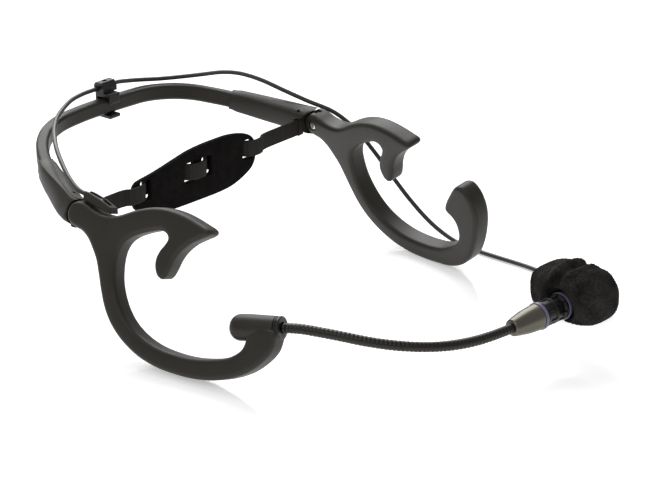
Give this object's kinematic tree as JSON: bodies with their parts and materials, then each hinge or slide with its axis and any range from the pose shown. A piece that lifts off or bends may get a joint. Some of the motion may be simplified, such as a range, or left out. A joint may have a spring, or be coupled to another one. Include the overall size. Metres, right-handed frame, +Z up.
{
  "type": "headset microphone",
  "caption": "Behind-the-head headset microphone: two ear hooks on a neckband, padded strap, gooseneck boom with foam windscreen, cable and plug.",
  "frame": {"origin": "on the standing surface under the middle of the headset's bounding box, loose cable left out", "axes": "+Z up, -Y the way the wearer looks, -X the wearer's right, the boom's side"},
  "size_m": [0.1876, 0.2571, 0.0759],
  "materials": {
    "soft_black_plastic": "soft-touch satin, dark warm grey-black",
    "deep_black_plastic": "fine satin black",
    "elastic_webbing": "ribbed elastic webbing, black",
    "pad_neoprene": "foam rubber faced with fine black knit",
    "windscreen_foam": "open-cell black foam",
    "cable_jacket": "satin black jacket",
    "lavender_ring": "muted lavender, slightly shiny",
    "blackened_steel": "black oxide, satin",
    "plated_steel": "nickel plate",
    "brass": "turned brass"
  },
  "bodies": {
    "headband": {"neckband": "soft_black_plastic", "band_spring": "plated_steel", "band_end_right": "soft_black_plastic", "band_end_left": "soft_black_plastic", "strap": "elastic_webbing", "strap_pad": "pad_neoprene", "strap_pin_right": "plated_steel", "strap_pin_left": "plated_steel", "cable_lead": "cable_jacket", "cable_free": "cable_jacket", "cable_coil": "cable_jacket", "cable_tail": "cable_jacket", "cable_tie": "elastic_webbing", "plug_boot": "deep_black_plastic", "plug_shell": "blackened_steel", "plug_insert": "deep_black_plastic", "plug_contact_1": "brass", "plug_contact_2": "brass", "plug_contact_3": "brass"},
    "right_hook": {"temple_right": "soft_black_plastic", "pivot_screw_right": "plated_steel", "pivot_insert_right": "brass", "cable_guide": "soft_black_plastic", "boom_socket": "soft_black_plastic", "socket_bush": "deep_black_plastic", "socket_collar": "deep_black_plastic"},
    "left_hook": {"temple_left": "soft_black_plastic", "pivot_screw_left": "plated_steel", "pivot_insert_left": "brass"},
    "clip": {"band_clip": "deep_black_plastic", "clip_saddle": "deep_black_plastic"},
    "boom": {"boom_anchor": "plated_steel", "gooseneck_rear": "blackened_steel"},
    "gooseneck_mid": {"gooseneck_middle": "blackened_steel"},
    "microphone": {"gooseneck_front": "blackened_steel", "mic_ferrule": "blackened_steel", "marker_ring_rear": "lavender_ring", "vented_sleeve": "deep_black_plastic", "marker_ring_front": "lavender_ring", "mic_capsule": "plated_steel", "mic_grille": "blackened_steel"},
    "foam_windscreen": {"windscreen": "windscreen_foam"},
    "latch": {"plug_latch": "blackened_steel"}
  },
  "joints": [
    {"name": "right_hook_hinge", "type": "hinge", "parent": "headband", "child": "right_hook", "pos_m": [-0.06804, 0.06024, 0.05003], "axis": [-0.9416, -0.0973, 0.3223], "range_deg": [-15, 15], "deforming": ["cable_lead"]},
    {"name": "left_hook_hinge", "type": "hinge", "parent": "headband", "child": "left_hook", "pos_m": [0.07511, 0.06215, 0.0497], "axis": [0.9629, -0.1542, 0.2215], "range_deg": [-15, 15]},
    {"name": "clip_slide", "type": "slide", "parent": "headband", "child": "clip", "axis": [1, 0, 0], "range_m": [-0.0025, 0.0025]},
    {"name": "boom_roll", "type": "hinge", "parent": "right_hook", "child": "boom", "pos_m": [-0.0713, -0.0336, 0.026], "axis": [0.2739, -0.9501, 0.1495], "range_deg": [-20, 60]},
    {"name": "gooseneck_rear_bend", "type": "hinge", "parent": "boom", "child": "gooseneck_mid", "pos_m": [-0.05775, -0.07094, 0.0268], "axis": [0, 0, 1], "range_deg": [-25, 15]},
    {"name": "gooseneck_front_bend", "type": "hinge", "parent": "gooseneck_mid", "child": "microphone", "pos_m": [-0.03259, -0.09698, 0.02233], "axis": [0.514, 0.8578, 0], "range_deg": [-10, 30]},
    {"name": "windscreen_pull", "type": "slide", "parent": "microphone", "child": "foam_windscreen", "axis": [0.9931, -0.114, 0.029], "range_m": [0, 0.026]},
    {"name": "latch_press", "type": "slide", "parent": "headband", "child": "latch", "axis": [0, 0, -1], "range_m": [0, 0.0006], "stiffness_N_per_m": 200}
  ]
}
